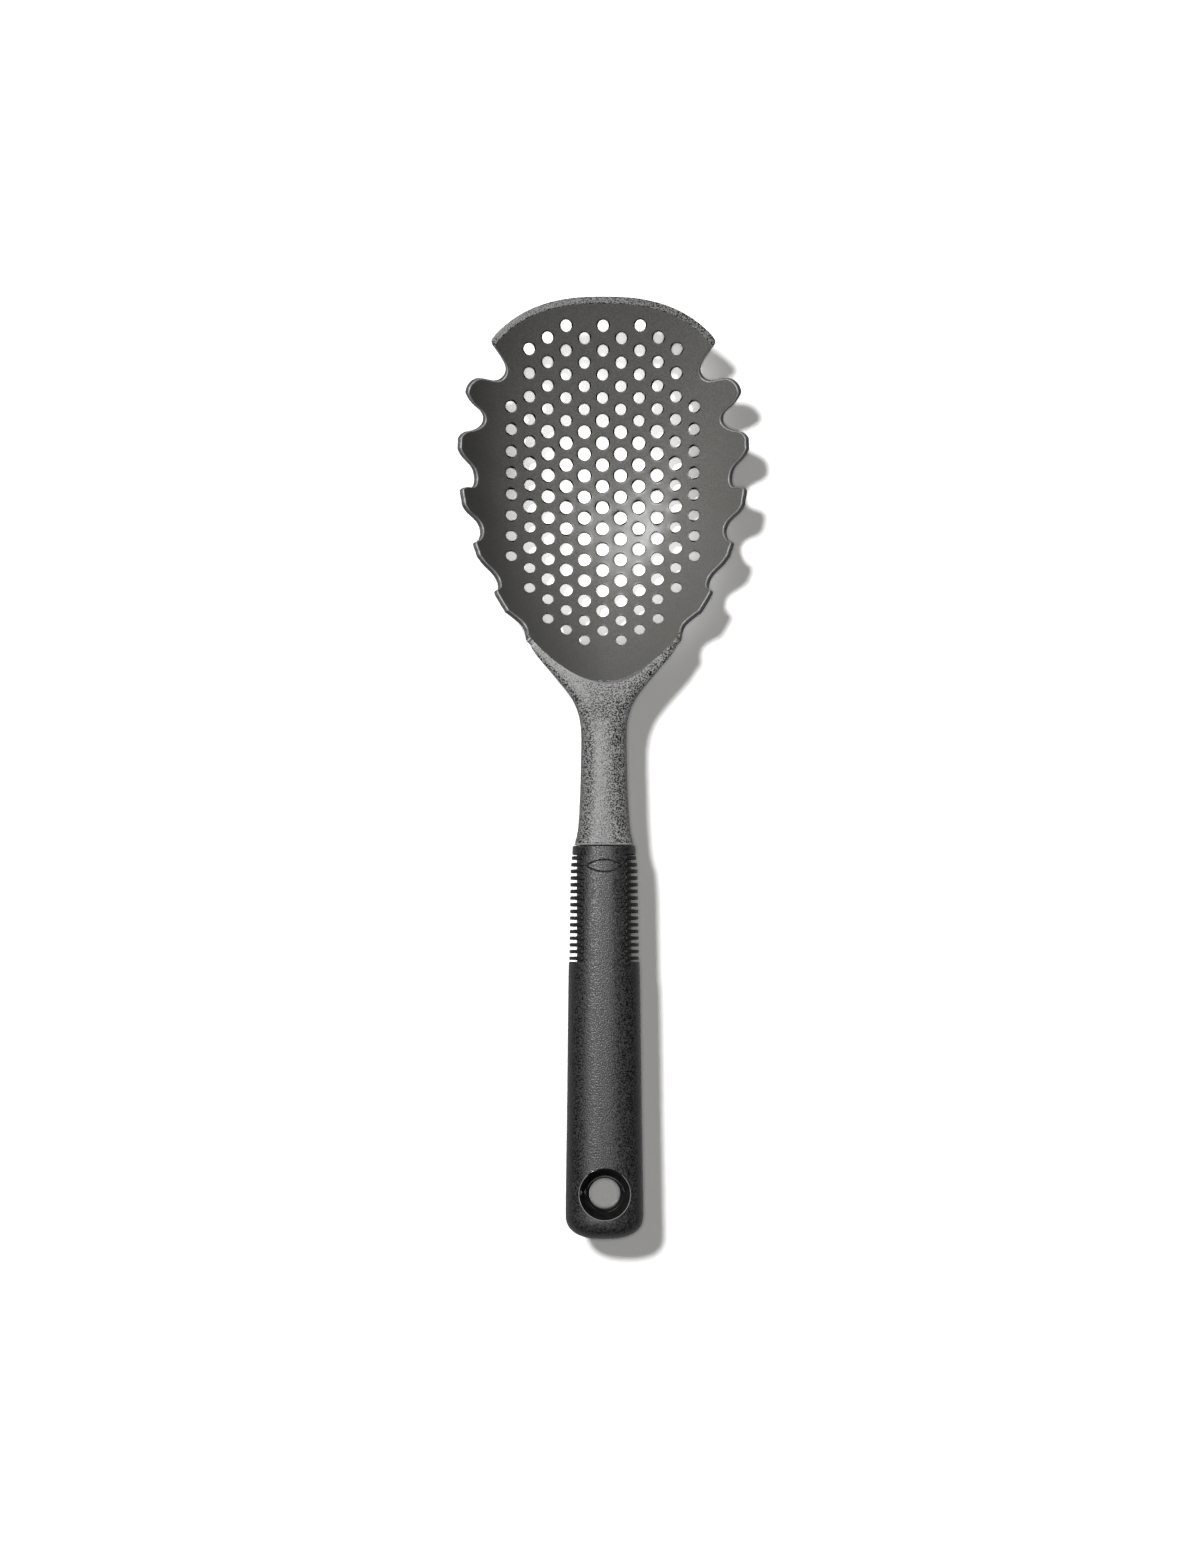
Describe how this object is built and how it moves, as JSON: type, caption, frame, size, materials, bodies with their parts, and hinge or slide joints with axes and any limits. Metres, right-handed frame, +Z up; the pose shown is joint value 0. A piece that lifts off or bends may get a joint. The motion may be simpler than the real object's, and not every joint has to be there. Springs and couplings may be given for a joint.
{
  "type": "pasta server",
  "caption": "Long-handled pasta server: a deep perforated nylon bowl with a toothed rim and plain lip, on a soft grip with finned sides and a lined hang hole.",
  "frame": {"origin": "centre of the overall footprint, on the level of the bowl's underside", "axes": "+Y from the grip towards the lip, +Z up out of the bowl, +X to the right seen from above with the lip away from the viewer"},
  "size_m": [0.1104, 0.353, 0.048],
  "materials": {
    "nylon": "fine spark texture outside and on the neck, satin inside the bowl",
    "core": "plain",
    "soft_grip": "matte with a fine grain",
    "fins": "satin",
    "liner": "gloss"
  },
  "bodies": {
    "root": {"scoop_head": "nylon", "handle_core": "core", "grip_sleeve": "soft_grip", "left_fin_pad": "fins", "right_fin_pad": "fins", "hang_hole_liner": "liner"}
  },
  "joints": []
}
